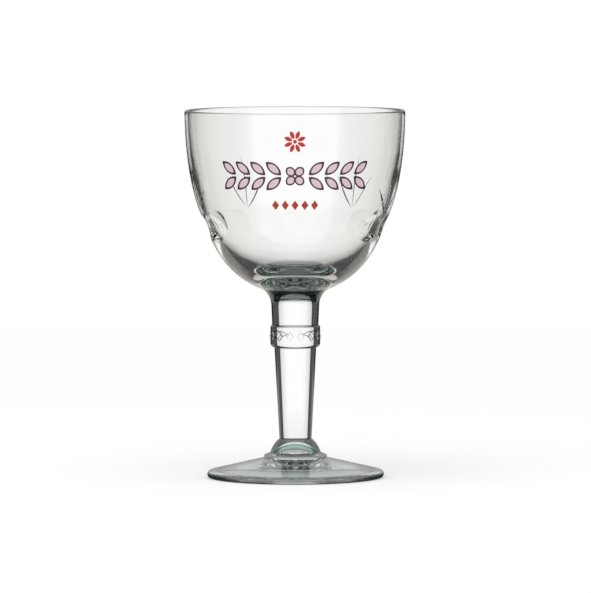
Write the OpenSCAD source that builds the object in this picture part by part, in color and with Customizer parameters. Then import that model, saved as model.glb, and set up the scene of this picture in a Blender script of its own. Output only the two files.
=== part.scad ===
// Chalice beer glass: a pressed foot, a pressed stem with a collar and a thick-based bowl,
// joined hot face to face, with fired enamel on the front of the bowl.
// It stands on the bearing ring under its foot, on its own axis, and faces -Y.

/* [Bowl] */
// Outside diameter at the rim
rim_d = 105; // [96:0.5:114]
// Height of the bowl from its seam with the stem to the rim
bowl_h = 85.2; // [76:0.2:96]
// Wall thickness at the rim
rim_wall = 1.8; // [1.4:0.1:2.4]
// Glass between the seam and the lowest point of the inside
floor_h = 5.9; // [4:0.1:9]

/* [Thumbprint band] */
// Number of places for a fan round the bowl; those in the smooth front sector stay empty
fan_count = 5; // [4:1:6]
// Number of places for an oval from one fan to the next; those in the smooth front sector stay empty
ovals_per_fan = 3; // [2:1:4]
// Height of the middle of the ovals above the seam
oval_z = 30; // [29:0.5:31]
// Radius of the round tool that presses an oval
oval_tool_r = 22; // [18:0.5:26]
// Depth of an oval at its middle
oval_depth = 1.1; // [0.9:0.1:1.4]
// Turn of the whole band about the axis, from the front
band_turn = -3.7; // [-10:0.1:10]

/* [Mitre fans] */
// Height above the ovals at which the long middle ray is deepest
long_ray_z = 17.5; // [15:0.5:18]
// Depth of the long middle ray at its deepest
long_ray_depth = 0.7; // [0.4:0.05:0.9]
// Height above the ovals at which the short side rays are deepest
side_ray_z = 12.5; // [11:0.5:15]
// Depth of the short side rays at their deepest
side_ray_depth = 0.6; // [0.3:0.05:0.8]
// Lean of the side rays away from the middle ray
side_ray_lean = 40; // [18:1:44]
// Distance of the side rays from the middle ray, where they are deepest
side_ray_gap = 6; // [4:0.25:7]
// Angle between the two faces of a ray
ray_angle = 100; // [80:5:120]
// Half of the front sector that stays smooth for the enamel
smooth_angle = 48; // [42:1:54]

/* [Stem] */
// Height of the stem between its two seams
stem_h = 71.3; // [60:0.1:85]
// Diameter of the stem at its seam with the foot
shank_foot_d = 15.4; // [13:0.2:17]
// Diameter of the shank just under the collar
shank_top_d = 19.9; // [18:0.1:21]
// Diameter of the neck just above the collar
neck_low_d = 22; // [21:0.1:22.6]
// Diameter of the neck where it starts to flare into the bowl
neck_top_d = 22.8; // [22:0.1:23.6]
// Height of the flare below the bowl
flare_h = 7.8; // [6:0.2:10]

/* [Collar] */
// Diameter of the collar
collar_d = 23.7; // [23.2:0.1:25]
// Height of the collar
collar_h = 10.6; // [9:0.2:12]
// Distance from the foot's seam to the underside of the collar
collar_z = 43.5; // [38:0.5:46]
// Number of raised lozenges round the collar
lozenge_count = 14; // [10:1:16]
// Height of a raised lozenge
lozenge_h = 4.6; // [3.6:0.2:5.6]
// Width of a raised lozenge
lozenge_w = 3.4; // [2.6:0.2:4]
// How far a lozenge stands out of the collar
lozenge_relief = 0.6; // [0.3:0.1:1]

/* [Foot] */
// Diameter of the foot
foot_d = 84.2; // [76:0.2:92]
// Height of the foot from the table to its seam with the stem
foot_h = 18.5; // [17.5:0.1:20]
// Diameter of the dome where it meets the step
dome_d = 24; // [22:0.5:26]
// Height of the dome's lower edge above the table
dome_z = 12; // [11.4:0.1:12.4]
// Diameter of the rounded step round the dome
step_d = 30; // [28.5:0.5:32]
// Height of the rounded step's middle above the table
step_z = 10.2; // [9.8:0.1:10.5]
// Thickness of the rounded step
step_t = 1.8; // [1.4:0.1:2]
// Thickness of the foot's rounded edge
edge_t = 3.4; // [2.8:0.1:4]
// Rise of the hollow under the foot
hollow_h = 5.4; // [3:0.1:6]
// Width of the flat ring that the glass stands on
bearing_w = 3; // [2:0.25:5]

/* [Enamel] */
// Thickness of the fired enamel
enamel_t = 0.12; // [0.08:0.01:0.3]
// Place of the garland's middle, as a share of the way from the ovals' middle up to the rim
garland_place_share = 0.471; // [0.45:0.001:0.49]
// Leaf pairs on each half of the garland
leaf_pairs = 4; // [2:1:5]
// Length of a leaf, its outline included
leaf_l = 9.6; // [8:0.2:10]
// Width of a leaf, its outline included
leaf_w = 4.4; // [3.4:0.2:4.8]
// Width of the dark outline round a leaf
outline_w = 0.7; // [0.4:0.05:0.9]
// Lean of a leaf above or below the garland's line
leaf_lean = 40; // [30:1:50]
// Distance from one leaf pair to the next, along the glass
leaf_pitch = 7.6; // [6.8:0.1:8.4]
// Diameter of the blossom in the middle of the garland
blossom_d = 10.4; // [8:0.2:11]
// Place of the rosette's middle, as a share of the same way
rosette_place_share = 0.7645; // [0.745:0.0005:0.785]
// Diameter of the rosette
rosette_d = 10.8; // [9:0.2:12]
// Number of petals on the rosette
petal_count = 8; // [5:1:10]
// Place of the small row's middle, as a share of the same way
row_place_share = 0.221; // [0.21:0.001:0.235]
// Number of lozenges in the small row
row_count = 5; // [3:1:7]
// Height of a lozenge in the small row
row_h = 4.6; // [3:0.2:5]
// Width of a lozenge in the small row
row_w = 3.4; // [2:0.2:4]
// Distance between the middles of the small row's lozenges
row_pitch = 4.6; // [4.2:0.1:5]

/* [Hidden] */
$fn = 96;

// Levels of the two seams and of the rim, above the table
stem_z = foot_h;
seam_z = foot_h + stem_h;
top_z = seam_z + bowl_h;

// Steps along each stretch of a curved outline
curve_steps = 4;
arc_steps = 6;
// How far a cutting or trimming body reaches past what it cuts
overrun = 5;

rim_r = rim_d / 2;
rim_round_r = rim_wall / 2;
rim_round_z = top_z - rim_round_r;
inner_rim_r = rim_r - rim_wall;
floor_z = seam_z + floor_h;

// Outside of the bowl, from the seam up, as shares of the rim's radius and of the height to the rim.
// The first and last rows only guide the ends of the curve.
outer_shares = [[0.14, -0.03],
                [0.295, 0], [0.455, 0.050], [0.590, 0.120], [0.689, 0.198], [0.764, 0.287], [0.827, 0.382],
                [0.887, 0.480], [0.933, 0.587], [0.967, 0.708], [0.990, 0.845], [1, 1],
                [1, 1.15]];
// Inside of the bowl, from the rim down to the axis, as shares of the inner rim's radius and the depth
inner_shares = [[1, 1.15],
                [1, 1], [0.984, 0.833], [0.952, 0.686], [0.905, 0.556], [0.854, 0.441], [0.791, 0.335],
                [0.724, 0.233], [0.617, 0.138], [0.460, 0.061], [0.245, 0.015], [0, 0],
                [-0.245, 0.015]];

// Point at t along the middle stretch of four points, on a Catmull-Rom curve
function curve_point(a, b, c, d, t) =
    ((2 * b) + (c - a) * t + (2 * a - 5 * b + 4 * c - d) * t * t + (3 * b - a - 3 * c + d) * t * t * t) / 2;

// Curve through the points of a line, without its two guide points
function curve(line) = [
    for (i = [1 : len(line) - 3])
        for (s = [0 : i == len(line) - 3 ? curve_steps : curve_steps - 1])
            curve_point(line[i - 1], line[i], line[i + 1], line[i + 2], s / curve_steps)
];

// Points on an arc about a middle point
function arc(middle, r, from, to) = [
    for (s = [0 : arc_steps])
        let (a = from + (to - from) * s / arc_steps)
            [middle[0] + r * cos(a), middle[1] + r * sin(a)]
];

outer_line = curve([for (p = outer_shares) [p[0] * rim_r, seam_z + p[1] * (rim_round_z - seam_z)]]);
inner_line = curve([for (p = inner_shares) [p[0] * inner_rim_r, floor_z + p[1] * (rim_round_z - floor_z)]]);
seam_r = outer_line[0][0];

// Outside radius of the bowl at a height, and the lean of its wall there
outer_by_height = [for (p = outer_line) [p[1], p[0]]];
function wall_r(z) = lookup(z, outer_by_height);
function wall_lean(z) = atan((wall_r(z + overrun) - wall_r(z - overrun)) / (2 * overrun));

oval_level = seam_z + oval_z;
oval_count = fan_count * ovals_per_fan;
oval_step = 360 / oval_count;
fan_step = 360 / fan_count;
// Long enough to cross an oval from end to end
oval_tool_l = rim_r;

// Puts its children on the bowl's outside at a height, X pointing out of the wall and Z up along it
module on_wall(turn, z) {
    rotate([0, 0, turn])
        translate([wall_r(z), 0, z])
            rotate([0, wall_lean(z), 0])
                children();
}

// Turns what faces +X to the front of the glass
front = -90;

module oval_cut() {
    translate([oval_tool_r - oval_depth, 0, 0])
        rotate([90, 0, 0])
            cylinder(r = oval_tool_r, h = oval_tool_l, center = true);
}

// A straight V cut: the round wall leaves it deep in the middle and pointed at both ends
module ray_cut(depth, length) {
    reach = overrun * tan(ray_angle / 2);
    translate([-depth, 0, 0])
        linear_extrude(height = length, center = true)
            polygon([[0, 0], [overrun, reach], [overrun, -reach]]);
}

// Three rays that open upwards over the point where two ovals meet
module fan_cut(turn) {
    long_z = oval_level + long_ray_z;
    side_z = oval_level + side_ray_z;
    on_wall(turn, long_z)
        ray_cut(long_ray_depth, rim_r);
    for (side = [-1, 1])
        on_wall(turn + side * side_ray_gap / wall_r(side_z) * 180 / PI, side_z)
            rotate([-side * side_ray_lean, 0, 0])
                ray_cut(side_ray_depth, rim_r);
}

module bowl_body() {
    rim_line = arc([rim_r - rim_round_r, rim_round_z], rim_round_r, 0, 180);
    inside_rim = [for (i = [1 : len(rim_line) - 2]) rim_line[i]];
    rotate_extrude()
        polygon(concat(outer_line, inside_rim, inner_line, [[0, seam_z]]));
}

module bowl() {
    color([0.86, 0.91, 0.90, 0.45])
        difference() {
            bowl_body();
            for (i = [0 : oval_count - 1]) {
                turn = band_turn + (i + 1 / 2) * oval_step;
                if (cos(turn) < cos(smooth_angle))
                    on_wall(front + turn, oval_level)
                        oval_cut();
            }
            for (i = [0 : fan_count - 1]) {
                turn = band_turn + i * fan_step;
                if (cos(turn) < cos(smooth_angle))
                    fan_cut(front + turn);
            }
        }
}

collar_r = collar_d / 2;
collar_low_z = stem_z + collar_z;
collar_top_z = collar_low_z + collar_h;
// The collar rounds in to the shank below it and to the neck above it
collar_low_round = collar_r - shank_top_d / 2;
collar_top_round = collar_r - neck_low_d / 2;
flare_z = seam_z - flare_h;
flare_w = seam_r - neck_top_d / 2;
// Radius of a flare that starts upright at the neck and ends at the seam
flare_r = (flare_w * flare_w + flare_h * flare_h) / (2 * flare_w);

module stem_body() {
    low_round = arc([collar_r - collar_low_round, collar_low_z + collar_low_round], collar_low_round, -90, 0);
    top_round = arc([collar_r - collar_top_round, collar_top_z - collar_top_round], collar_top_round, 0, 90);
    flare = arc([neck_top_d / 2 + flare_r, flare_z], flare_r, 180, 180 - asin(flare_h / flare_r));
    rotate_extrude()
        polygon(concat([[0, stem_z], [shank_foot_d / 2, stem_z]], low_round, top_round, flare, [[0, seam_z]]));
}

// Upright lozenge, point up
module lozenge(w, h) {
    polygon([[w / 2, 0], [0, h / 2], [-w / 2, 0], [0, -h / 2]]);
}

module collar_lozenges() {
    for (i = [0 : lozenge_count - 1])
        rotate([0, 0, (i + 1 / 2) * 360 / lozenge_count])
            translate([0, 0, (collar_low_z + collar_low_round + collar_top_z - collar_top_round) / 2])
                rotate([90, 0, 0])
                    linear_extrude(height = collar_r + lozenge_relief)
                        lozenge(lozenge_w, lozenge_h);
}

module stem() {
    color([0.82, 0.88, 0.87, 0.55])
        union() {
            stem_body();
            collar_lozenges();
        }
}

foot_r = foot_d / 2;
edge_round = edge_t / 2;
step_round = step_t / 2;
step_middle_r = step_d / 2 - step_round;
// How far below level the step's rounding turns before it meets the foot's top
step_end_angle = 45;
bearing_r = foot_r - edge_round;
hollow_w = bearing_r - bearing_w;
// Radius of the ball that hollows the foot
hollow_r = (hollow_w * hollow_w + hollow_h * hollow_h) / (2 * hollow_h);
// Slope of the foot's top from the step down to the edge
top_slope = atan((step_z - edge_round + step_round - edge_round) / (bearing_r - step_middle_r));
// The dome is an arc from the seam to its lower edge, and turns by this angle on the way
dome_bend = 34;
dome_rise = foot_h - dome_z;
dome_run = (dome_d - shank_foot_d) / 2;
dome_chord = sqrt(dome_rise * dome_rise + dome_run * dome_run);
dome_tilt = atan(dome_rise / dome_run);
dome_r = dome_chord / (2 * sin(dome_bend / 2));
dome_middle = [shank_foot_d / 2 - dome_r * cos(90 - dome_tilt + dome_bend / 2),
               foot_h - dome_r * sin(90 - dome_tilt + dome_bend / 2)];

module foot_body() {
    dome = arc(dome_middle, dome_r, 90 - dome_tilt + dome_bend / 2, 90 - dome_tilt - dome_bend / 2);
    step = arc([step_middle_r, step_z], step_round, 90, -step_end_angle);
    edge = arc([bearing_r, edge_round], edge_round, 90 - top_slope, -90);
    rotate_extrude()
        polygon(concat([[0, foot_h]], dome, step, edge, [[0, 0]]));
}

module foot() {
    color([0.82, 0.88, 0.87, 0.55])
        difference() {
            foot_body();
            translate([0, 0, hollow_h - hollow_r])
                sphere(r = hollow_r);
        }
}

// Thin skin on the outside of the bowl between two heights, over the front half
module enamel_skin(from, to) {
    line = [for (p = outer_line) if (p[1] > from && p[1] < to) p];
    skin = [for (i = [len(line) - 1 : -1 : 0]) [line[i][0] + enamel_t, line[i][1]]];
    rotate([0, 0, front - 90])
        rotate_extrude(angle = 180)
            polygon(concat(line, skin));
}

// Sends a flat motif out to the bowl's front, turned round the glass by an arc length at its height
module print_at(along, z) {
    rotate([0, 0, along / wall_r(z) * 180 / PI])
        translate([0, 0, z])
            rotate([90, 0, 0])
                linear_extrude(height = rim_r + overrun)
                    children();
}

// Pointed leaf with its root at the origin and its tip along X
module leaf(l, w) {
    r = (l * l + w * w) / (4 * w);
    intersection() {
        translate([l / 2, r - w / 2])
            circle(r = r);
        translate([l / 2, w / 2 - r])
            circle(r = r);
    }
}

// The coloured inside of a leaf, drawn in by the outline's width at its middle
module leaf_inside(l, w) {
    inset = outline_w * l / w;
    translate([inset, 0])
        leaf(l - 2 * inset, w - 2 * outline_w);
}

module blossom(d, inside) {
    for (turn = [0 : 90 : 270])
        rotate(turn + 45)
            translate([outline_w / 2, 0])
                if (inside)
                    leaf_inside(d / 2, leaf_w);
                else
                    leaf(d / 2, leaf_w);
}

// Level of a print whose middle lies at a share of the way from the ovals' middle up to the rim
function print_level(place_share) = oval_level + place_share * (top_z - oval_level);

garland_level = print_level(garland_place_share);
first_leaf = blossom_d / 2 + outline_w;

// Lays the garland's leaves round the glass; the blossom stands in the middle
module garland(inside) {
    print_at(0, garland_level)
        blossom(blossom_d, inside);
    for (side = [0, 180])
        for (i = [0 : leaf_pairs - 1])
            for (lean = [-leaf_lean, leaf_lean])
                print_at(cos(side) * (first_leaf + i * leaf_pitch), garland_level)
                    rotate(side)
                        rotate(lean)
                            translate([outline_w, 0])
                                if (inside)
                                    leaf_inside(leaf_l, leaf_w);
                                else
                                    leaf(leaf_l, leaf_w);
}

module garland_skin() {
    enamel_skin(garland_level - leaf_l - overrun, garland_level + leaf_l + overrun);
}

module enamel_leaf_outlines() {
    color([0.30, 0.14, 0.20])
        difference() {
            intersection() {
                garland_skin();
                garland(false);
            }
            garland(true);
        }
}

module enamel_leaf_fills() {
    color([0.93, 0.82, 0.85])
        intersection() {
            garland_skin();
            garland(true);
        }
}

rosette_level = print_level(rosette_place_share);
// Shares of the rosette's diameter
petal_length_share = 0.38;
petal_width_share = 0.18;
bud_share = 0.17;

module enamel_rosette() {
    petal_l = rosette_d * petal_length_share;
    color([0.66, 0.13, 0.12])
        intersection() {
            enamel_skin(rosette_level - rosette_d - overrun, rosette_level + rosette_d);
            print_at(0, rosette_level) {
                circle(d = rosette_d * bud_share);
                for (i = [0 : petal_count - 1])
                    rotate((i + 1 / 2) * 360 / petal_count)
                        translate([rosette_d / 2 - petal_l, 0])
                            leaf(petal_l, rosette_d * petal_width_share);
            }
        }
}

row_level = print_level(row_place_share);

module enamel_lozenge_row() {
    color([0.62, 0.16, 0.11])
        intersection() {
            enamel_skin(row_level - row_h - overrun, row_level + row_h + overrun);
            for (i = [0 : row_count - 1])
                print_at((i - (row_count - 1) / 2) * row_pitch, row_level)
                    lozenge(row_w, row_h);
        }
}

bowl();
stem();
foot();
enamel_leaf_outlines();
enamel_leaf_fills();
enamel_rosette();
enamel_lozenge_row();
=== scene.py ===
# A stemmed beer chalice of clear pressed glass with fired enamel on the front, on a pale studio floor.
import math

import bpy
from mathutils import Matrix, Vector


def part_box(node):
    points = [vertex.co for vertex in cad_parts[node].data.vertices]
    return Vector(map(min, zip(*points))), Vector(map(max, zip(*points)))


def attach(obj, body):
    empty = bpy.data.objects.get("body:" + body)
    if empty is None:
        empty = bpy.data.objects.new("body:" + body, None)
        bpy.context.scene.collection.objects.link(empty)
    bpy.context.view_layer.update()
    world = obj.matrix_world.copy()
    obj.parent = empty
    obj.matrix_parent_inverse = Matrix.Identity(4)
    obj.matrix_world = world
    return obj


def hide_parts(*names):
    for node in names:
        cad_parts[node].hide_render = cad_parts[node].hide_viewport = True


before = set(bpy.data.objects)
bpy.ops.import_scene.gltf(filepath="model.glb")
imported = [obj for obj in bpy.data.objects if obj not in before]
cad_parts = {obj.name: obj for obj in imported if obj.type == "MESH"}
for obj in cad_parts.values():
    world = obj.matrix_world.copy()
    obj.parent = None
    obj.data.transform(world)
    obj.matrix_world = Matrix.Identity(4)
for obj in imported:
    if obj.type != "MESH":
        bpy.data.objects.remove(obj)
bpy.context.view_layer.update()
scene = bpy.context.scene
mm = 0.001
samePoint = 0.002 * mm              # points closer than this are one point
sameLine = 0.05 * mm                # points closer than this lie on one line
levelNormal = 0.999                 # a face whose normal is this upright is level
print("frame loaded:", ", ".join(sorted(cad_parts)))

# Levels and radii that the frame gives
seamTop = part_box("bowl")[0].z       # the bowl's seam with the stem
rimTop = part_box("bowl")[1].z
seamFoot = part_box("stem")[0].z      # the stem's seam with the foot
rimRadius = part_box("bowl")[1].x
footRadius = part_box("foot")[1].x


def nothingSelected():
    active = bpy.context.object
    if active and active.mode != "OBJECT":
        bpy.ops.object.mode_set(mode="OBJECT")
    bpy.ops.object.select_all(action="DESELECT")


def pick(piece):
    nothingSelected()
    piece.select_set(True)
    bpy.context.view_layer.objects.active = piece


def placed(piece, matrix):
    pick(piece)
    piece.matrix_world = matrix @ piece.matrix_world
    bpy.ops.object.transform_apply(location=True, rotation=True, scale=True)
    return piece


def renamed(piece, name):
    piece.name = name
    piece.data.name = name
    return piece


# A line between four points, on a Catmull-Rom curve
def curvePoint(a, b, c, d, t):
    return tuple(
        (2 * q + (r - p) * t + (2 * p - 5 * q + 4 * r - s) * t**2 + (3 * q - p - 3 * r + s) * t**3) / 2
        for p, q, r, s in zip(a, b, c, d)
    )


# steps has a count for each stretch between two points
def curveLine(rows, steps):
    line = []
    for i, count in enumerate(steps):
        line += [curvePoint(*rows[i:i + 4], s / count) for s in range(count)]
    return line + [rows[-2]]


def arcLine(middle, radius, start, end, steps):
    turns = [math.radians(start + (end - start) * s / steps) for s in range(steps + 1)]
    return [(middle[0] + radius * math.cos(t), middle[1] + radius * math.sin(t)) for t in turns]


# One vertex is extruded from point to point and the line is spun into a closed body
def spun(name, outline, steps):
    nothingSelected()
    bpy.ops.mesh.primitive_plane_add(size=mm, location=(outline[0][0], 0, outline[0][1]))
    piece = renamed(bpy.context.object, name)
    bpy.ops.object.transform_apply(location=True, rotation=True, scale=True)
    bpy.ops.object.mode_set(mode="EDIT")
    bpy.ops.mesh.merge(type="CENTER")
    for a, b in zip(outline, outline[1:]):
        bpy.ops.mesh.extrude_region_move(TRANSFORM_OT_translate={"value": (b[0] - a[0], 0, b[1] - a[1])})
    bpy.ops.mesh.select_all(action="SELECT")
    bpy.ops.mesh.spin(steps=steps, angle=math.tau, center=(0, 0, 0), axis=(0, 0, 1))
    bpy.ops.mesh.select_all(action="SELECT")
    bpy.ops.mesh.remove_doubles(threshold=samePoint)
    bpy.ops.mesh.normals_make_consistent(inside=False)
    bpy.ops.object.mode_set(mode="OBJECT")
    return piece


def boolean(piece, tool, operation):
    pick(piece)
    cut = piece.modifiers.new("cut", "BOOLEAN")
    cut.operation = operation
    cut.solver = "MANIFOLD"
    cut.object = tool
    bpy.ops.object.modifier_apply(modifier=cut.name)
    bpy.data.objects.remove(tool)
    return piece


def united(tools):
    whole = tools[0]
    for tool in tools[1:]:
        boolean(whole, tool, "UNION")
    return whole


def smoothed(piece, angle):
    pick(piece)
    bpy.ops.object.shade_smooth_by_angle(angle=math.radians(angle))


def dressed(piece, *materials):
    piece.data.materials.clear()
    for material in materials:
        piece.data.materials.append(material)


def finished(piece, node):
    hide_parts(node)
    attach(piece, "root")


# Materials

def newMaterial(name):
    material = bpy.data.materials.new(name)
    material.use_nodes = True
    return material, material.node_tree, material.node_tree.nodes["Principled BSDF"]


def linked(tree, kind, **values):
    node = tree.nodes.new(kind)
    for key, value in values.items():
        if key in node.inputs:
            node.inputs[key].default_value = value
        else:
            setattr(node, key, value)
    return node


# Sets each socket to a number or a colour, or links it to another node's socket
def fed(tree, sockets, values):
    for socket, value in zip(sockets, values):
        if isinstance(value, (int, float, tuple)):
            socket.default_value = value
        else:
            tree.links.new(value, socket)


def mathNode(tree, operation, *values):
    node = tree.nodes.new("ShaderNodeMath")
    node.operation = operation
    fed(tree, node.inputs, values)
    return node.outputs[0]


# A soft step in value from toLow at low to toHigh at high
def between(tree, value, low, high, toLow=0.0, toHigh=1.0):
    node = tree.nodes.new("ShaderNodeMapRange")
    node.interpolation_type = "SMOOTHSTEP"
    fed(tree, node.inputs, (value, low, high, toLow, toHigh))
    return node.outputs["Result"]


glassLook = {
    "ior": 1.52,
    "tint": (0.998, 1.0, 0.997),           # a trace of green at each face
    "deepTint": (0.96, 1.0, 0.985),        # and more where its tone is under deepBelow
    "deepBelow": 0.85,
    "warmTint": (1.0, 0.988, 0.968),       # the bowl's thin wall looks a little warm at its sides
    "warmAt": (0.30, 0.62),                # at these two stops of its tone
    "rippleScale": 55.0,                   # slow unevenness left by the mould, about 18 mm across
    "rippleDepth": 0.02 * mm,
    "grainScale": 900.0,                   # fine fire-polished skin
    "grainDepth": 0.0006 * mm,
}


def rampOf(tree, stops):
    ramp = tree.nodes.new("ShaderNodeValToRGB")
    while len(ramp.color_ramp.elements) < len(stops):
        ramp.color_ramp.elements.new(0.5)
    for element, (place, level) in zip(ramp.color_ramp.elements, stops):
        element.position = place
        element.color = (level, level, level, 1) if isinstance(level, (int, float)) else level
    return ramp


def faceTint(look, turned, tone):
    if turned in look["warmAt"]:
        return look["warmTint"]
    return look["tint"] if tone > look["deepBelow"] else look["deepTint"]


# The edge ramp is painted shade, put into the glass's colour: the share of light that a face lets in,
# less as the face turns away from the eye, standing for the dark outlines of thick pressed glass.
# Each of edgeSteps raises that turn by an amount, from one height to another, which moves the painted shade.
def glassMaterial(name, look, edgeShade, edgeSteps=(), ripple=1.0):
    material, tree, shader = newMaterial(name)
    place = linked(tree, "ShaderNodeTexCoord")
    facing = linked(tree, "ShaderNodeLayerWeight", Blend=0.5).outputs["Facing"]
    parts = linked(tree, "ShaderNodeSeparateXYZ")
    tree.links.new(place.outputs["Object"], parts.inputs[0])
    for low, high, rise in edgeSteps:
        facing = mathNode(tree, "ADD", facing, between(tree, parts.outputs[2], low, high, 0.0, rise))
    # the colour is squared because glass takes its root at each face
    clear = rampOf(tree, [
        (turned, [(tone * c)**2 for c in faceTint(look, turned, tone)] + [1]) for turned, tone in edgeShade])
    tree.links.new(facing, clear.inputs["Fac"])
    tree.links.new(clear.outputs["Color"], shader.inputs["Base Color"])
    shader.inputs["Transmission Weight"].default_value = 1
    shader.inputs["Roughness"].default_value = 0
    shader.inputs["IOR"].default_value = look["ior"]
    slow = linked(tree, "ShaderNodeTexNoise", Scale=look["rippleScale"], Detail=1.5)
    fine = linked(tree, "ShaderNodeTexNoise", Scale=look["grainScale"], Detail=2.0)
    slowBump = linked(tree, "ShaderNodeBump", Strength=1.0, Distance=look["rippleDepth"] * ripple)
    fineBump = linked(tree, "ShaderNodeBump", Strength=1.0, Distance=look["grainDepth"])
    tree.links.new(place.outputs["Object"], slow.inputs["Vector"])
    tree.links.new(place.outputs["Object"], fine.inputs["Vector"])
    tree.links.new(slow.outputs["Fac"], slowBump.inputs["Height"])
    tree.links.new(fine.outputs["Fac"], fineBump.inputs["Height"])
    tree.links.new(slowBump.outputs["Normal"], fineBump.inputs["Normal"])
    tree.links.new(fineBump.outputs["Normal"], shader.inputs["Normal"])
    return material


# Where two pieces are one melt, light passes the seam without bending
seamTint = (0.82, 0.86, 0.85, 1)


def seamMaterial(name):
    material, tree, shader = newMaterial(name)
    tree.nodes.remove(shader)
    clear = linked(tree, "ShaderNodeBsdfTransparent", Color=seamTint)
    tree.links.new(clear.outputs["BSDF"], tree.nodes["Material Output"].inputs["Surface"])
    return material


enamelLook = {
    "roughness": 0.32,
    "cloudScale": 900.0,
    "cloudDepth": 0.01 * mm,
    "cloudRange": (0.3, 0.75),
    "thinShare": 0.86,                     # how dark the thin places are
}


def enamelMaterial(name, colour):
    look = enamelLook
    material, tree, shader = newMaterial(name)
    place = linked(tree, "ShaderNodeTexCoord")
    cloud = linked(tree, "ShaderNodeTexNoise", Scale=look["cloudScale"], Detail=4.0)
    thin = [look["thinShare"] * c for c in colour[:3]] + [1]
    ramp = rampOf(tree, list(zip(look["cloudRange"], (thin, colour))))
    bump = linked(tree, "ShaderNodeBump", Strength=0.5, Distance=look["cloudDepth"])
    tree.links.new(place.outputs["Object"], cloud.inputs["Vector"])
    tree.links.new(cloud.outputs["Fac"], ramp.inputs["Fac"])
    tree.links.new(ramp.outputs["Color"], shader.inputs["Base Color"])
    tree.links.new(cloud.outputs["Fac"], bump.inputs["Height"])
    tree.links.new(bump.outputs["Normal"], shader.inputs["Normal"])
    shader.inputs["Roughness"].default_value = look["roughness"]
    return material


# The flat faces at a seam level take the clear material
def clearSeams(piece, levels, radius):
    piece.data.materials.append(seamMaterial(piece.name + "Seam"))
    for face in piece.data.polygons:
        flat = abs(face.normal.z) > levelNormal
        near = math.hypot(face.center.x, face.center.y) < radius
        if flat and near and any(abs(face.center.z - level) < sameLine for level in levels):
            face.material_index = len(piece.data.materials) - 1


# Bowl

bowlSizes = {
    "rimWall": 1.8 * mm,
    "floor": 5.9 * mm,
    "turns": 440,
    "rimSteps": 20,
    # radius as a share of the rim's, and height as a share of the way from the seam to the rim
    "outside": [
        (0.14, -0.03), (0.295, 0), (0.455, 0.050), (0.590, 0.120), (0.689, 0.198), (0.764, 0.287),
        (0.827, 0.382), (0.887, 0.480), (0.933, 0.587), (0.967, 0.708), (0.990, 0.845), (1, 1), (1, 1.15)],
    # the same for the inside, from the rim down
    "inside": [
        (1, 1.15), (1, 1), (0.984, 0.833), (0.952, 0.686), (0.905, 0.556), (0.854, 0.441), (0.791, 0.335),
        (0.724, 0.233), (0.617, 0.138), (0.460, 0.061), (0.245, 0.015), (0, 0), (-0.245, 0.015)],
    # steps along each stretch between two rows, close together through the ovals
    "outsideSteps": [7, 7, 7, 16, 24, 20, 7, 7, 7, 7],
    "insideSteps": [7] * 10,
    "fans": 5,
    "ovalsPerFan": 3,
    "ovalHeight": 30 * mm,
    "ovalTool": 22 * mm,
    "ovalDepth": 1.1 * mm,
    "ovalSoftness": 0.12 * mm,
    "bandTurn": -3.7,
    "longRay": (17.5 * mm, 0.7 * mm),      # height over the ovals and depth
    "sideRay": (12.5 * mm, 0.6 * mm),
    "sideLean": 40,
    "sideGap": 6 * mm,
    "rayAngle": 100,
    "rayReach": 5 * mm,                    # from the cutting edge to the back of the tool
    "leanReach": 5 * mm,                   # the wall's lean is read this far over and under a place
    "plainFront": 48,                      # half the sector with no ovals and no rays
    "smoothAngle": 25,
    # painted shade: the bowl darkens as a face turns from the eye; innerSteps shift it at two heights
    "outerShade": [
        (0.0, 1.0), (0.10, 1.0), (0.30, 0.985), (0.62, 0.98), (0.80, 0.98), (0.93, 0.92), (1.0, 0.8)],
    "innerShade": [(0.0, 1.0), (0.56, 1.0), (0.72, 0.70), (0.86, 0.30), (1.0, 0.0)],
    "innerSteps": [(106 * mm, 118 * mm, -0.13), (173.2 * mm, 174.4 * mm, 0.35)],
    "lowInside": 8 * mm,                   # up to this far over the floor, what faces up is the inside
}

rimRound = bowlSizes["rimWall"] / 2
rimLevel = rimTop - rimRound
innerRim = rimRadius - bowlSizes["rimWall"]
floorLevel = seamTop + bowlSizes["floor"]
outerLine = curveLine(
    [(r * rimRadius, seamTop + h * (rimLevel - seamTop)) for r, h in bowlSizes["outside"]],
    bowlSizes["outsideSteps"])
innerLine = curveLine(
    [(r * innerRim, floorLevel + h * (rimLevel - floorLevel)) for r, h in bowlSizes["inside"]],
    bowlSizes["insideSteps"])
seamRadius = outerLine[0][0]
fanStep = 360 / bowlSizes["fans"]
ovalStep = fanStep / bowlSizes["ovalsPerFan"]


def wallRadius(z):
    for (r0, z0), (r1, z1) in zip(outerLine, outerLine[1:]):
        if z0 <= z <= z1:
            return r0 + (r1 - r0) * (z - z0) / (z1 - z0)
    return outerLine[-1][0]


def wallLean(z):
    reach = bowlSizes["leanReach"]
    return math.atan((wallRadius(z + reach) - wallRadius(z - reach)) / (2 * reach))


# Puts what faces +X on the bowl's outside, X out of the wall and Z up along it; turn 0 is the front
def onWall(turn, z):
    turned = Matrix.Rotation(math.radians(turn - 90), 4, "Z")
    return turned @ Matrix.Translation((wallRadius(z), 0, z)) @ Matrix.Rotation(wallLean(z), 4, "Y")


# The front sector stays smooth for the enamel
def onFront(turn):
    return math.cos(math.radians(turn)) >= math.cos(math.radians(bowlSizes["plainFront"]))


# A rise from nothing that starts softly
def softRise(amount, softness):
    if amount >= softness:
        return amount
    return max(amount + softness, 0)**2 / (4 * softness)


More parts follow.
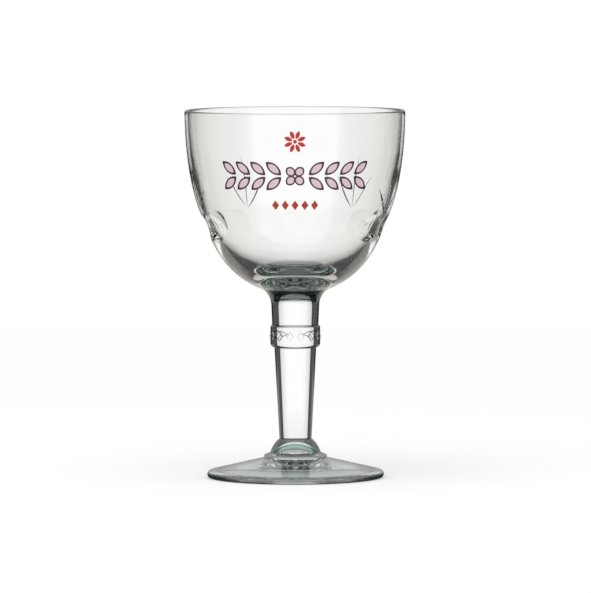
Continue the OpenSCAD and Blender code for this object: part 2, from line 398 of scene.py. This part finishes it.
# How deep the nearest round tools press the wall at a turn from the front and a level
def pressedDepth(turn, z):
    s = bowlSizes
    middle = seamTop + s["ovalHeight"]
    lean = wallLean(middle)
    deepest = 0
    place = (turn - s["bandTurn"]) / ovalStep - 0.5
    for nearest in (math.floor(place), math.ceil(place)):
        ovalTurn = s["bandTurn"] + (nearest + 0.5) * ovalStep
        if onFront(ovalTurn):
            continue
        off = math.radians(turn - ovalTurn)
        out = wallRadius(z) * math.cos(off) - wallRadius(middle)
        up = z - middle
        along = up * math.cos(lean) + out * math.sin(lean)
        proud = out * math.cos(lean) - up * math.sin(lean)
        if abs(along) < s["ovalTool"]:
            face = s["ovalTool"] - s["ovalDepth"] - math.sqrt(s["ovalTool"]**2 - along**2)
            deepest = max(deepest, softRise(proud - face, s["ovalSoftness"]))
    return deepest


def pressOvals(bowl):
    middle = seamTop + bowlSizes["ovalHeight"]
    for point in bowl.data.vertices:
        radius = math.hypot(point.co.x, point.co.y)
        outside = abs(radius - wallRadius(point.co.z)) < sameLine
        if outside and abs(point.co.z - middle) < bowlSizes["ovalTool"]:
            turn = math.degrees(math.atan2(point.co.x, -point.co.y))
            deep = pressedDepth(turn, point.co.z)
            lean = wallLean(point.co.z)
            inward = Vector((point.co.x, point.co.y, 0)) / radius * -math.cos(lean)
            point.co += deep * (inward + Vector((0, 0, math.sin(lean))))


# A three-sided bar, widened to the angle of the cut, with one edge sunk in the wall
def rayTool(turn, z, depth, lean):
    s = bowlSizes
    nothingSelected()
    reach = s["rayReach"]
    bpy.ops.mesh.primitive_cylinder_add(vertices=3, radius=1, depth=rimRadius, rotation=(0, 0, math.pi / 2))
    tool = bpy.context.object
    bpy.ops.object.transform_apply(location=True, rotation=True, scale=True)
    # the corner at -X is the cutting edge; the other two lie at half the radius beyond the axis
    low = min(v.co.x for v in tool.data.vertices)
    high = max(v.co.x for v in tool.data.vertices)
    half = max(v.co.y for v in tool.data.vertices)
    wide = reach * math.tan(math.radians(s["rayAngle"] / 2)) / half
    shape = Matrix.Diagonal((reach / (high - low), wide, 1, 1)) @ Matrix.Translation((-low, 0, 0))
    sunk = Matrix.Translation((-depth, 0, 0))
    return placed(tool, onWall(turn, z) @ Matrix.Rotation(math.radians(lean), 4, "X") @ sunk @ shape)


def fanTools(turn):
    s = bowlSizes
    band = seamTop + s["ovalHeight"]
    longUp, longDeep = s["longRay"]
    sideUp, sideDeep = s["sideRay"]
    tools = [rayTool(turn, band + longUp, longDeep, 0)]
    for side in (-1, 1):
        apart = math.degrees(s["sideGap"] / wallRadius(band + sideUp))
        tools.append(rayTool(turn + side * apart, band + sideUp, sideDeep, -side * s["sideLean"]))
    return tools


def makeBowl():
    s = bowlSizes
    rim = arcLine((rimRadius - rimRound, rimLevel), rimRound, 0, 180, s["rimSteps"])
    outline = [(0, seamTop)] + outerLine + rim[1:-1] + innerLine
    bowl = spun("bowlGlass", outline, s["turns"])
    pressOvals(bowl)
    rays = []
    for i in range(s["fans"]):
        turn = s["bandTurn"] + i * fanStep
        if not onFront(turn):
            rays += fanTools(turn)
    boolean(bowl, united(rays), "DIFFERENCE")
    smoothed(bowl, s["smoothAngle"])
    dressed(bowl, glassMaterial("bowlOutside", glassLook, s["outerShade"]),
            glassMaterial("bowlInside", glassLook, s["innerShade"], s["innerSteps"]))
    for face in bowl.data.polygons:
        inward = face.center.x * face.normal.x + face.center.y * face.normal.y < 0
        low = face.center.z < floorLevel + s["lowInside"] and face.normal.z > 0
        face.material_index = 1 if inward or low else 0
    clearSeams(bowl, [seamTop], seamRadius)
    finished(bowl, "bowl")
    print("bowl made:", len(bowl.data.polygons), "faces")


# Stem

stemSizes = {
    "footShank": 15.4 * mm,
    "topShank": 19.9 * mm,
    "lowNeck": 22 * mm,
    "topNeck": 22.8 * mm,
    "flare": 7.8 * mm,
    "collar": 23.7 * mm,
    "collarHeight": 10.6 * mm,
    "collarLevel": 43.5 * mm,
    "lozenges": 14,
    "lozengeHeight": 4.6 * mm,
    "lozengeWidth": 3.4 * mm,
    "lozengeRelief": 0.6 * mm,
    "turns": 320,
    "arcSteps": 16,
    "shankSteps": 24,
    "neckSteps": 6,
    "smoothAngle": 20,
    "gap": 0.01 * mm,                      # keeps the two faces of a seam apart for the ray tracer
    # painted shade: dark bands at the stem's sides that start with a hard step; edgeSteps widen them higher
    # up
    # worked out from the photo's brightness along one row of the neck and one of the shank
    "edgeShade": [
        (0.0, 1.0), (0.05, 1.0), (0.15, 0.95), (0.27, 0.82), (0.315, 0.7), (0.33, 0.02), (0.38, 0.09),
        (0.60, 0.10), (0.74, 0.02), (1.0, 0.0)],
    "edgeSteps": [(72 * mm, 73 * mm, 0.035)],
    "rippleShare": 1.2,
}


def evenSteps(a, b, steps):
    return [(a[0] + (b[0] - a[0]) * s / steps, a[1] + (b[1] - a[1]) * s / steps) for s in range(1, steps)]


def collarLozenge(turn, level):
    s = stemSizes
    nothingSelected()
    reach = s["collar"] / 2 + s["lozengeRelief"]
    inner = s["collar"] / 4
    bpy.ops.mesh.primitive_cylinder_add(
        vertices=4, radius=s["lozengeWidth"] / 2, depth=reach - inner, location=(0, 0, 0))
    tool = bpy.context.object
    bpy.ops.object.transform_apply(location=True, rotation=True, scale=True)
    stretch = Matrix.Diagonal((1, s["lozengeHeight"] / s["lozengeWidth"], 1, 1))
    upright = Matrix.Rotation(math.radians(90), 4, "X")
    out = Matrix.Translation((0, -(reach + inner) / 2, level))
    return placed(tool, Matrix.Rotation(math.radians(turn), 4, "Z") @ out @ upright @ stretch)


def makeStem():
    s = stemSizes
    collarRadius = s["collar"] / 2
    low = seamFoot + s["collarLevel"]
    top = low + s["collarHeight"]
    lowRound = collarRadius - s["topShank"] / 2
    topRound = collarRadius - s["lowNeck"] / 2
    flareWidth = seamRadius - s["topNeck"] / 2
    flareRadius = (flareWidth**2 + s["flare"]**2) / (2 * flareWidth)
    flareTurn = math.degrees(math.asin(s["flare"] / flareRadius))
    shankStart = (s["footShank"] / 2, seamFoot + s["gap"])
    lowArc = arcLine((collarRadius - lowRound, low + lowRound), lowRound, -90, 0, s["arcSteps"])
    topArc = arcLine((collarRadius - topRound, top - topRound), topRound, 0, 90, s["arcSteps"])
    flareMiddle = (s["topNeck"] / 2 + flareRadius, seamTop - s["flare"])
    flare = arcLine(flareMiddle, flareRadius, 180, 180 - flareTurn, s["arcSteps"])
    flare[-1] = (flare[-1][0], seamTop - s["gap"])
    outline = [(0, seamFoot + s["gap"]), shankStart]
    outline += evenSteps(shankStart, lowArc[0], s["shankSteps"]) + lowArc
    outline += topArc + evenSteps(topArc[-1], flare[0], s["neckSteps"]) + flare + [(0, seamTop - s["gap"])]
    stem = spun("stemGlass", outline, s["turns"])
    middle = (low + lowRound + top - topRound) / 2
    for i in range(s["lozenges"]):
        boolean(stem, collarLozenge((i + 0.5) * 360 / s["lozenges"], middle), "UNION")
    smoothed(stem, s["smoothAngle"])
    dressed(stem, glassMaterial("stemClear", glassLook, s["edgeShade"], s["edgeSteps"], s["rippleShare"]))
    clearSeams(stem, [seamFoot, seamTop], seamRadius)
    finished(stem, "stem")
    print("stem made:", len(stem.data.polygons), "faces")


# Foot

footSizes = {
    "dome": 24 * mm,
    "domeLevel": 12 * mm,
    "domeBend": 34,
    "step": 30 * mm,
    "stepLevel": 10.2 * mm,
    "stepThickness": 1.8 * mm,
    "stepTurn": 45,
    "edge": 3.4 * mm,
    # painted shade: the foot darkens at its rim, and edgeSteps darken it more at the dome and the bottom edge
    "edgeShade": [(0.0, 1.0), (0.80, 1.0), (0.90, 0.4), (1.0, 0.25)],
    "edgeSteps": [(10.6 * mm, 12.4 * mm, 0.55), (3.2 * mm, 1.6 * mm, 0.55)],
    "tint": (0.985, 1.0, 0.994),           # the foot is the thickest and shows the most green
    "deepTint": (0.88, 1.0, 0.97),
    "rippleShare": 1.5,
    "hollow": 5.4 * mm,
    "bearing": 3 * mm,
    "turns": 320,
    "arcSteps": 20,
    "topSteps": 16,
    "hollowSteps": 32,
    "ledgeSteps": 3,
    "smoothAngle": 20,
}


def makeFoot():
    s = footSizes
    edgeRound = s["edge"] / 2
    stepRound = s["stepThickness"] / 2
    stepMiddle = s["step"] / 2 - stepRound
    bearingRadius = footRadius - edgeRound
    hollowWidth = bearingRadius - s["bearing"]
    hollowRadius = (hollowWidth**2 + s["hollow"]**2) / (2 * s["hollow"])
    slope = math.degrees(math.atan(
        (s["stepLevel"] - edgeRound + stepRound - edgeRound) / (bearingRadius - stepMiddle)))
    shank = stemSizes["footShank"] / 2
    rise = seamFoot - s["domeLevel"]
    run = s["dome"] / 2 - shank
    tilt = math.degrees(math.atan(rise / run))
    domeRadius = math.hypot(rise, run) / (2 * math.sin(math.radians(s["domeBend"] / 2)))
    domeStart = 90 - tilt + s["domeBend"] / 2
    domeMiddle = (shank - domeRadius * math.cos(math.radians(domeStart)),
                  seamFoot - domeRadius * math.sin(math.radians(domeStart)))
    dome = arcLine(domeMiddle, domeRadius, domeStart, domeStart - s["domeBend"], s["arcSteps"])
    step = arcLine((stepMiddle, s["stepLevel"]), stepRound, 90, -s["stepTurn"], s["arcSteps"])
    edge = arcLine((bearingRadius, edgeRound), edgeRound, 90 - slope, -90, s["arcSteps"])
    hollowTurn = math.degrees(math.asin(hollowWidth / hollowRadius))
    hollow = arcLine((0, s["hollow"] - hollowRadius), hollowRadius, 90 - hollowTurn, 90, s["hollowSteps"])
    outline = [(0, seamFoot)] + dome + evenSteps(dome[-1], step[0], s["ledgeSteps"]) + step
    outline += evenSteps(step[-1], edge[0], s["topSteps"]) + edge + hollow
    foot = spun("footGlass", outline, s["turns"])
    smoothed(foot, s["smoothAngle"])
    look = glassLook | {"tint": s["tint"], "deepTint": s["deepTint"]}
    dressed(foot, glassMaterial("footClear", look, s["edgeShade"], s["edgeSteps"], s["rippleShare"]))
    clearSeams(foot, [seamFoot], shank)
    finished(foot, "foot")
    print("foot made:", len(foot.data.polygons), "faces")


# Enamel

enamelLooks = {
    "enamel_leaf_outlines": ("plum_enamel", (0.085, 0.018, 0.042, 1)),
    "enamel_leaf_fills": ("pink_enamel", (0.86, 0.68, 0.74, 1)),
    "enamel_rosette": ("red_enamel", (0.60, 0.03, 0.02, 1)),
    "enamel_lozenge_row": ("brick_enamel", (0.50, 0.045, 0.018, 1)),
}


def dressEnamel():
    for node, (slot, colour) in enamelLooks.items():
        dressed(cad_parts[node], enamelMaterial(slot, colour))
    print("enamel dressed")


makeBowl()
makeStem()
makeFoot()
dressEnamel()

# Studio

studio = {
    "floorReach": 40.0,
    "floorColour": (0.80, 0.80, 0.80, 1),
    "floorGlow": 0.22,                     # keeps the ground white and its shadow faint
    "diffuseLevel": 0.80,
    "nearFade": (0.3, 1.2),                # the shadow fades out between these distances
    # the levels from here on were set against the photo's tones, at several dozen of its pixels
    # what straight light brings of the ground, by distance from the axis in metres, after four faces or two:
    # a painted shadow that is darker close to the axis
    "groundFar": [(0.0, 0.50), (0.10, 0.75), (0.20, 0.92), (0.35, 0.98), (0.50, 1.0)],
    "groundNear": [
        (0.0, (0.45, 0.50, 0.47, 1)), (0.07, (0.45, 0.50, 0.47, 1)), (0.16, (0.72, 0.75, 0.73, 1)),
        (0.35, 0.88), (1.4, 1.0)],
    # and under the foot, painted rings of light and shade, set against the photo's foot and not worked
    # out from the glass; from 0.0447 to 0.056 they follow its pixels, at nearly one stop for each row
    "groundUnder": [
        (0.0, (0.24, 0.28, 0.27, 1)), (0.010, (0.28, 0.33, 0.31, 1)), (0.018, (0.46, 0.51, 0.49, 1)),
        (0.023, (0.38, 0.43, 0.41, 1)), (0.028, (0.50, 0.55, 0.52, 1)), (0.033, (0.43, 0.48, 0.46, 1)),
        (0.038, (0.52, 0.57, 0.54, 1)), (0.0424, (0.36, 0.42, 0.40, 1)), (0.0447, (0.06, 0.10, 0.11, 1)),
        (0.0456, (0.18, 0.27, 0.27, 1)), (0.0464, (0.32, 0.48, 0.42, 1)), (0.0474, (0.20, 0.31, 0.27, 1)),
        (0.0486, (0.16, 0.25, 0.19, 1)), (0.056, (0.24, 0.30, 0.27, 1)), (0.07, (0.45, 0.50, 0.47, 1))],
    "underReach": 0.07,
    "groundReach": 1.5,
    "skyTones": [(0, 1.0), (14, 1.0), (32, 0.35), (90, 0.12)],          # by height in degrees
    # what light that was reflected inside the glass brings, from behind, the sides and the front
    "backHalf": 44,
    "frontHalf": 49,
    "softTurn": (2, 5),                    # how softly the sectors end behind and in front
    "stripHalf": 25,                       # and a white strip of far ground straight behind
    "stripStart": (0.63, 0.77),
    "backSky": [(0, 0.72), (8, 0.55), (18, 0.30), (35, 0.15), (90, 0.25)],
    "frontSky": [(0, 1.0), (25, 0.9), (60, 0.4), (90, 0.3)],
    "sideLevel": 0.07,
    "backGround": [(0.0, 0.16), (0.12, 0.12), (0.5, 0.10), (1.5, 0.07)],
    "frontGround": [(0.0, 0.30), (0.15, 0.6), (0.4, 1.0), (1.5, 1.0)],
    # what shows mirrored on the outside, by degrees from the front
    "mirrorSky": [(0, 1.0), (52, 1.0), (64, 0.10), (112, 0.10), (125, 0.78), (180, 0.78)],
    "mirrorGround": [(0, 1.0), (52, 1.0), (64, 0.04), (118, 0.04), (122, 0.0), (180, 0.0)],
    # in what shows mirrored, the ground near the foot is painted dark, a painted shadow
    "mirrorHigh": [(0, 0.6), (14, 0.65), (20, 1.0), (90, 1.0)],          # times a share by height in degrees
    "mirrorNear": [(0.0, 0.08), (0.10, 0.08), (0.25, 1.0), (1.5, 1.0)],  # or by distance on the ground
    "mirrorBack": (118, 122),              # past this turn the ground shows by distance alone
    "mirrorBehind": [
        (0.0, 0.12), (0.10, 0.15), (0.15, (0.86, 0.85, 0.78, 1)), (0.38, (0.86, 0.85, 0.78, 1)),
        (0.50, 0.05), (1.5, 0.04)],
}


# A level read from a short table of places, whose last place stands for reach
def tonesOf(tree, value, tones, reach):
    ramp = rampOf(tree, [(place / reach, level) for place, level in tones])
    tree.links.new(mathNode(tree, "DIVIDE", value, reach), ramp.inputs["Fac"])
    return ramp.outputs["Color"]


def mixShaders(tree, share, first, second):
    node = tree.nodes.new("ShaderNodeMixShader")
    fed(tree, node.inputs, (share, first, second))
    return node.outputs[0]


def glow(tree, kind, level, tint=(1, 1, 1, 1)):
    node = tree.nodes.new(kind)
    fed(tree, (node.inputs["Strength"], node.inputs["Color"]), (level, tint))
    return node.outputs[0]


# Degrees round the axis from the front, the same to the left and to the right
def fromFront(tree, x, y):
    across = mathNode(tree, "ABSOLUTE", x)
    ahead = mathNode(tree, "MULTIPLY", y, -1.0)
    return mathNode(tree, "DEGREES", mathNode(tree, "ARCTAN2", across, ahead))


# One where the turn is less than half degrees from straight behind, and nothing elsewhere
def backSector(tree, turn, half, s):
    soft = s["softTurn"][0]
    return between(tree, turn, 180 - soft - half, 180 + soft - half)


# One level behind, one in front and a dark one at the sides
def aroundLevel(tree, turn, behind, ahead, s):
    soft = s["softTurn"][1]
    front = between(tree, turn, s["frontHalf"] - soft, s["frontHalf"] + soft, 1.0, 0.0)
    inFront = mathNode(tree, "MULTIPLY", front, ahead)
    inBack = mathNode(tree, "MULTIPLY", backSector(tree, turn, s["backHalf"], s), behind)
    return mathNode(tree, "MAXIMUM", mathNode(tree, "MAXIMUM", inFront, inBack), s["sideLevel"])


def groundLook(tree):
    s = studio
    kind = "ShaderNodeEmission"
    reach = s["groundReach"]
    place = linked(tree, "ShaderNodeTexCoord")
    parts = linked(tree, "ShaderNodeSeparateXYZ")
    tree.links.new(place.outputs["Object"], parts.inputs[0])
    length = linked(tree, "ShaderNodeVectorMath", operation="LENGTH")
    tree.links.new(place.outputs["Object"], length.inputs[0])
    away = length.outputs["Value"]
    turn = fromFront(tree, parts.outputs[0], parts.outputs[1])
    path = linked(tree, "ShaderNodeLightPath")

    # seen by the camera, with the shadow of the glass, and lit by the lamp
    diffuse = linked(tree, "ShaderNodeBsdfDiffuse", Color=s["floorColour"])
    lifted = linked(tree, "ShaderNodeAddShader")
    fed(tree, lifted.inputs, (diffuse.outputs[0], glow(tree, kind, s["floorGlow"])))
    fade = between(tree, away, *s["nearFade"])
    seen = mixShaders(tree, fade, lifted.outputs[0], glow(tree, kind, 1.0))
    plain = mixShaders(tree, path.outputs["Is Camera Ray"], diffuse.outputs[0], seen)

    # seen straight through the glass; a depth is a count, so it is held against a half
    under = mathNode(tree, "LESS_THAN", away, s["underReach"])
    near = mixShaders(tree, under,
                      glow(tree, kind, 1.0, tonesOf(tree, away, s["groundNear"], reach)),
                      glow(tree, kind, 1.0, tonesOf(tree, away, s["groundUnder"], s["underReach"])))
    far = glow(tree, kind, 1.0, tonesOf(tree, away, s["groundFar"], reach))
    twoFaces = mathNode(tree, "LESS_THAN", path.outputs["Transmission Depth"], 2.5)
    clear = mixShaders(tree, twoFaces, far, near)

    # reflected inside the glass on its way
    ahead = tonesOf(tree, away, s["frontGround"], reach)
    behind = tonesOf(tree, away, s["backGround"], reach)
    strip = mathNode(tree, "MULTIPLY", between(tree, away, *s["stripStart"]),
                     backSector(tree, turn, s["stripHalf"], s))
    bounced = glow(tree, kind, mathNode(tree, "MAXIMUM", strip, aroundLevel(tree, turn, behind, ahead, s)))
    straight = mathNode(tree, "LESS_THAN", path.outputs["Glossy Depth"], 0.5)
    through = mixShaders(tree, straight, bounced, clear)

    # mirrored on the outside
    level = tonesOf(tree, turn, s["mirrorGround"], 180)
    shaded = mathNode(tree, "MULTIPLY", level, tonesOf(tree, away, s["mirrorNear"], reach))
    mirrorBehind = glow(tree, kind, 1.0, tonesOf(tree, away, s["mirrorBehind"], reach))
    mirrored = mixShaders(tree, between(tree, turn, *s["mirrorBack"]), glow(tree, kind, shaded), mirrorBehind)

    # a ray that passed glass counts as both kinds, so the second mix decides
    shown = mixShaders(tree, path.outputs["Is Glossy Ray"], plain, mirrored)
    return mixShaders(tree, path.outputs["Is Transmission Ray"], shown, through)


def makeFloor():
    nothingSelected()
    bpy.ops.mesh.primitive_circle_add(vertices=96, radius=studio["floorReach"], fill_type="NGON")
    floor = renamed(bpy.context.object, "studioFloor")
    material = bpy.data.materials.new("paleFloor")
    material.use_nodes = True
    tree = material.node_tree
    tree.nodes.remove(tree.nodes["Principled BSDF"])
    tree.links.new(groundLook(tree), tree.nodes["Material Output"].inputs["Surface"])
    floor.data.materials.append(material)


def makeWorld():
    s = studio
    world = bpy.data.worlds.new("studio")
    scene.world = world
    world.use_nodes = True
    tree = world.node_tree
    tree.nodes.clear()
    kind = "ShaderNodeBackground"
    out = tree.nodes.new("ShaderNodeOutputWorld")
    path = linked(tree, "ShaderNodeLightPath")
    place = linked(tree, "ShaderNodeTexCoord")
    parts = linked(tree, "ShaderNodeSeparateXYZ")
    tree.links.new(place.outputs["Generated"], parts.inputs[0])
    x, y, z = parts.outputs
    turn = fromFront(tree, x, y)
    height = mathNode(tree, "MAXIMUM", mathNode(tree, "DEGREES", mathNode(tree, "ARCSINE", z)), 0.0)

    clear = glow(tree, kind, tonesOf(tree, height, s["skyTones"], 90))
    ahead = tonesOf(tree, height, s["frontSky"], 90)
    behind = tonesOf(tree, height, s["backSky"], 90)
    bounced = glow(tree, kind, aroundLevel(tree, turn, behind, ahead, s))
    straight = mathNode(tree, "LESS_THAN", path.outputs["Glossy Depth"], 0.5)
    through = mixShaders(tree, straight, bounced, clear)

    level = tonesOf(tree, turn, s["mirrorSky"], 180)
    mirrored = glow(tree, kind, mathNode(tree, "MULTIPLY", level, tonesOf(tree, height, s["mirrorHigh"], 90)))
    shown = mixShaders(tree, path.outputs["Is Glossy Ray"], glow(tree, kind, s["diffuseLevel"]), mirrored)
    shown = mixShaders(tree, path.outputs["Is Transmission Ray"], shown, through)
    shown = mixShaders(tree, path.outputs["Is Camera Ray"], shown, glow(tree, kind, 1.0))
    tree.links.new(shown, out.inputs["Surface"])


lamps = {
    "overheadLamp": {"at": (-0.2, -0.7, 1.7), "aim": (0, 0, 0.09), "size": 1.6, "power": 10},
}


def makeLamps():
    for name, s in lamps.items():
        nothingSelected()
        bpy.ops.object.light_add(type="AREA", location=s["at"])
        lamp = bpy.context.object
        lamp.name = name
        lamp.data.shape = "SQUARE"
        lamp.data.size = s["size"]
        lamp.data.energy = s["power"]
        aim = Vector(s["aim"]) - Vector(s["at"])
        lamp.rotation_euler = aim.to_track_quat("-Z", "Y").to_euler()
        lamp.visible_transmission = False
        lamp.visible_glossy = False


cameraPlace = {
    "distance": 3.2,
    "height": 0.29,
    "aim": (0.00012, 0, 0.0862),
    "lens": 409,
    "sensor": 36,
    "roll": -0.11,
    "farClip": 200,
}


def makeCamera():
    s = cameraPlace
    nothingSelected()
    bpy.ops.object.camera_add(location=(s["aim"][0], -s["distance"], s["height"]))
    camera = bpy.context.object
    camera.name = "studioCamera"
    aim = Vector(s["aim"]) - camera.location
    turn = aim.to_track_quat("-Z", "Y").to_matrix() @ Matrix.Rotation(math.radians(s["roll"]), 3, "Z")
    camera.rotation_euler = turn.to_euler()
    camera.data.lens = s["lens"]
    camera.data.sensor_width = s["sensor"]
    camera.data.clip_end = s["farClip"]
    scene.camera = camera


makeFloor()
makeWorld()
makeLamps()
makeCamera()
print("studio ready")

scene.view_settings.view_transform = "Standard"
scene.cycles.max_bounces = 32
scene.cycles.transmission_bounces = 32
scene.cycles.glossy_bounces = 24
scene.cycles.transparent_max_bounces = 32
